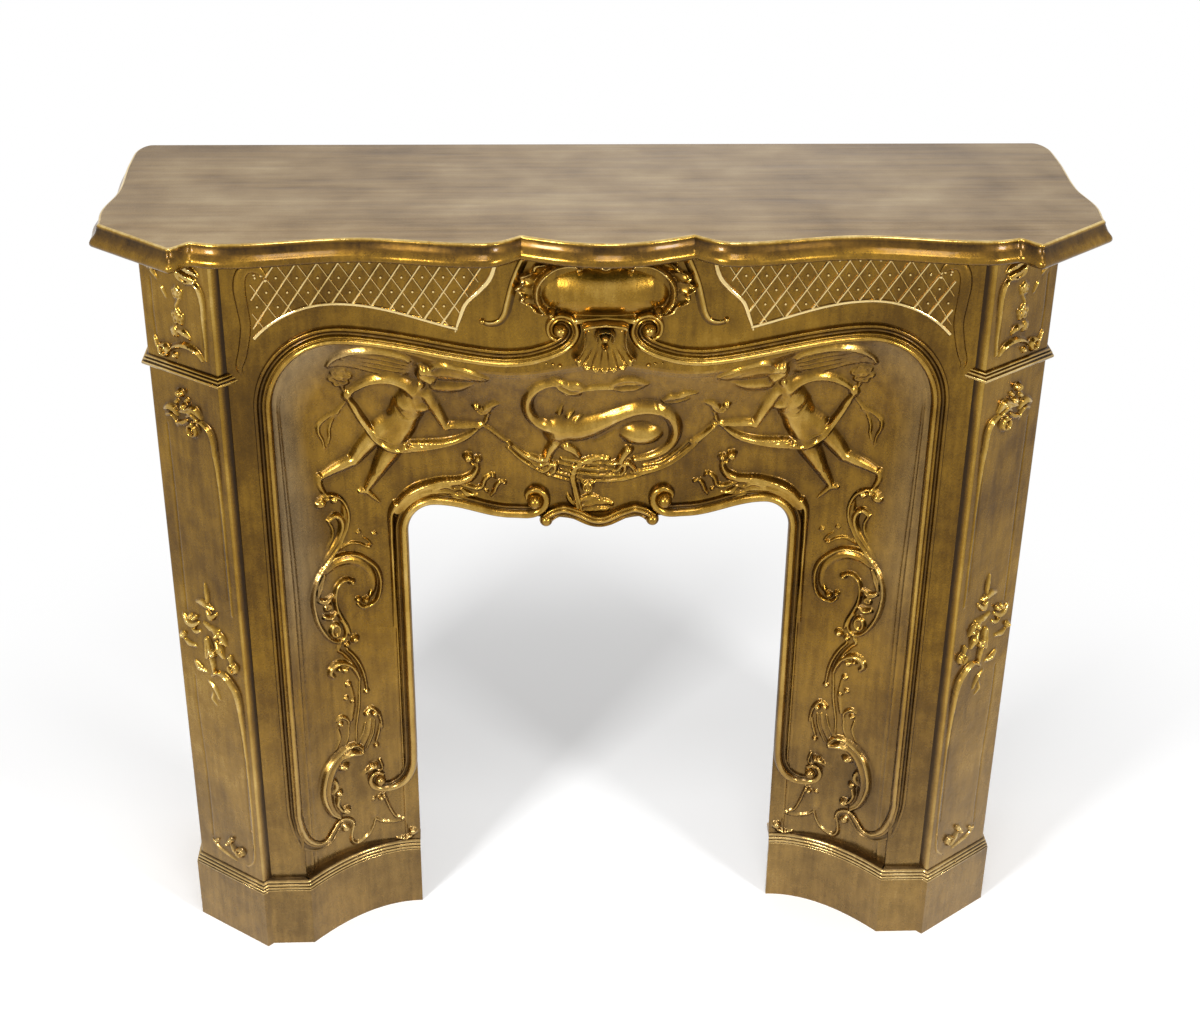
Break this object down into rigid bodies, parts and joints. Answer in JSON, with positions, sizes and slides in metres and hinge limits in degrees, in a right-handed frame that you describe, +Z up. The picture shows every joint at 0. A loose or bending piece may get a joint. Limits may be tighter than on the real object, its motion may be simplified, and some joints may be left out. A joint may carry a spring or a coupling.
{
  "type": "cast iron fireplace surround",
  "caption": "Ornate fireplace surround with a serpentine shelf, canted pilasters and a coved arch panel round an open firebox.",
  "frame": {"origin": "on the floor, under the middle of the bounding box", "axes": "+Z up, +X to the right when facing the front, +Y back to the wall; the front faces -Y"},
  "size_m": [1.2958, 0.411, 1.15],
  "materials": {
    "gold_paint": "aged gold bronze paint on cast iron",
    "shelf_paint": "worn brown bronze paint, satin, with streaks",
    "raw_iron": "dark raw iron"
  },
  "bodies": {
    "root": {"shelf": "shelf_paint", "front_frame": "gold_paint", "left_arch_moulding": "gold_paint", "right_arch_moulding": "gold_paint", "inner_panel": "gold_paint", "opening_moulding": "gold_paint", "cartouche": "gold_paint", "scallop_shell": "gold_paint", "left_trellis": "gold_paint", "right_trellis": "gold_paint", "left_upper_block": "gold_paint", "right_upper_block": "gold_paint", "left_neck_moulding": "gold_paint", "right_neck_moulding": "gold_paint", "left_shaft": "gold_paint", "right_shaft": "gold_paint", "left_plinth_moulding": "gold_paint", "right_plinth_moulding": "gold_paint", "left_plinth": "gold_paint", "right_plinth": "gold_paint", "left_cove_moulding": "gold_paint", "right_cove_moulding": "gold_paint", "left_cove_plinth": "gold_paint", "right_cove_plinth": "gold_paint", "rear_tie_bar": "raw_iron", "shelf_brackets": "raw_iron", "clamp_bars": "raw_iron", "left_wall_lugs": "raw_iron", "right_wall_lugs": "raw_iron", "frame_bolts": "raw_iron", "shelf_bolts": "raw_iron", "lug_bolts": "raw_iron"}
  },
  "joints": []
}
